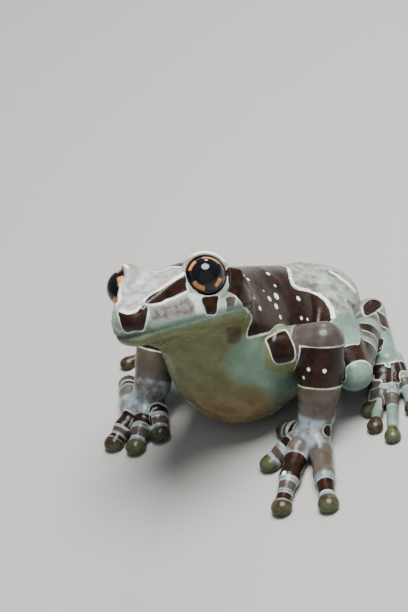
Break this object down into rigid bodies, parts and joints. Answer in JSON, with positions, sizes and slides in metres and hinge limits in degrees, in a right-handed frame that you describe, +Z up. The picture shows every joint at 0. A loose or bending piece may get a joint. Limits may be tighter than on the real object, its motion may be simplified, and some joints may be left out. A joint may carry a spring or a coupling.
{
  "type": "amazon milk frog",
  "caption": "Life-size still model of a sitting tree frog: broad blunt head raised and turned, bulging eyes, plump body, thick front legs, round finger discs and folded webbed hind legs.",
  "frame": {"origin": "on the floor under the middle of the frog's box", "axes": "+X to the frog's left, -Y the way it faces, +Z up"},
  "size_m": [0.0691, 0.0604, 0.044],
  "materials": {
    "head_skin": "moist grey skin with dark brown bands edged in cream",
    "body_skin": "moist grey-green skin with a dark brown saddle edged in cream",
    "limb_skin": "moist skin banded dark brown, cream and grey",
    "digit_skin": "moist pale blue-grey skin with brown bands and green-blue discs",
    "eye": "wet gloss, black with orange patches in a cross"
  },
  "bodies": {
    "root": {"head": "head_skin", "torso": "body_skin", "upper_arm_left": "limb_skin", "upper_arm_right": "limb_skin", "forearm_left": "limb_skin", "forearm_right": "limb_skin", "hand_left": "digit_skin", "hand_right": "digit_skin", "thigh_left": "limb_skin", "thigh_right": "limb_skin", "shank_left": "limb_skin", "shank_right": "limb_skin", "foot_left": "digit_skin", "foot_right": "digit_skin", "eye_left": "eye", "eye_right": "eye"}
  },
  "joints": []
}
